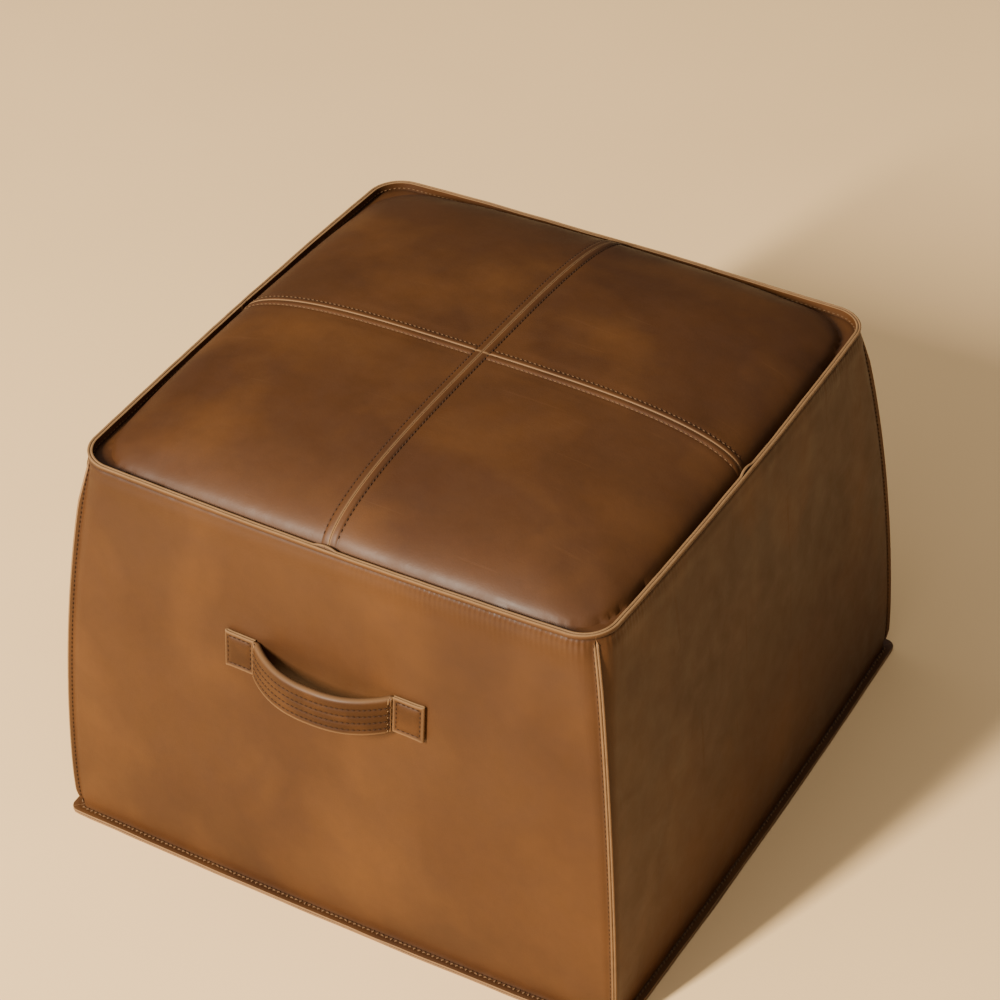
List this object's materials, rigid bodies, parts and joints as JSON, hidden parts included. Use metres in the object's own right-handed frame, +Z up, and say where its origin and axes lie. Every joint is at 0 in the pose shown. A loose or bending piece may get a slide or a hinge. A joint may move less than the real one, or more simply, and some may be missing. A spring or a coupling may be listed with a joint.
{
  "type": "leather floor pouf",
  "caption": "Square stuffed leather pouf: walls taper to a crowned, four-part top, raised raw-edge seams, a strap handle on the front wall and a zip in the base.",
  "frame": {"origin": "on the floor, under the middle of the seat, on the underside of the base", "axes": "+Z up; -Y out of the wall that carries the handle; +X to the right of someone who faces that wall"},
  "size_m": [0.567, 0.5751, 0.4251],
  "materials": {
    "cover_leather": "tan semi-aniline leather, cloudy, soft sheen",
    "handle_leather": "tan leather strap, stitched",
    "backing_leather": "raw split leather",
    "cotton": "plain undyed cotton",
    "zip_tape": "woven polyester tape",
    "zip_coil": "nylon coil",
    "brass": "satin brass",
    "wadding": "polyester wadding",
    "foam": "upholstery foam"
  },
  "bodies": {
    "root": {"base_panel_front": "cover_leather", "base_panel_rear": "cover_leather", "side_panel_front": "cover_leather", "side_panel_right": "cover_leather", "side_panel_back": "cover_leather", "side_panel_left": "cover_leather", "top_panel_front_left": "cover_leather", "top_panel_front_right": "cover_leather", "top_panel_back_left": "cover_leather", "top_panel_back_right": "cover_leather", "handle_tab_left": "handle_leather", "handle_tab_right": "handle_leather", "handle_patch_left": "backing_leather", "handle_patch_right": "backing_leather", "zip_facing_front": "backing_leather", "zip_facing_rear": "backing_leather", "bag_base": "cotton", "bag_body": "cotton", "seam_stay_left": "cotton", "seam_stay_long": "cotton", "seam_stay_right": "cotton", "zip_tape_front": "zip_tape", "zip_tape_rear": "zip_tape", "zip_coil_front": "zip_coil", "zip_coil_rear": "zip_coil", "zip_stop_left": "brass", "zip_stop_right": "brass", "wadding_topper": "wadding", "wadding_wrap": "wadding", "foam_core": "foam"},
    "handle": {"handle_grip": "handle_leather", "handle_core": "cotton"},
    "zip_slider": {"zip_slider": "brass"},
    "zip_pull": {"zip_pull": "brass"}
  },
  "joints": [
    {"name": "handle_lift", "type": "hinge", "parent": "root", "child": "handle", "pos_m": [0.00036, -0.26062, 0.27549], "axis": [-0.9998, 0.0016, 0.0209], "range_deg": [0, 75]},
    {"name": "zip_slide", "type": "slide", "parent": "root", "child": "zip_slider", "axis": [1, 0, 0], "range_m": [0, 0.316]},
    {"name": "zip_pull_swing", "type": "hinge", "parent": "zip_slider", "child": "zip_pull", "pos_m": [-0.16095, 0.13, 0.0016], "axis": [0, 1, 0], "range_deg": [0, 150]}
  ]
}
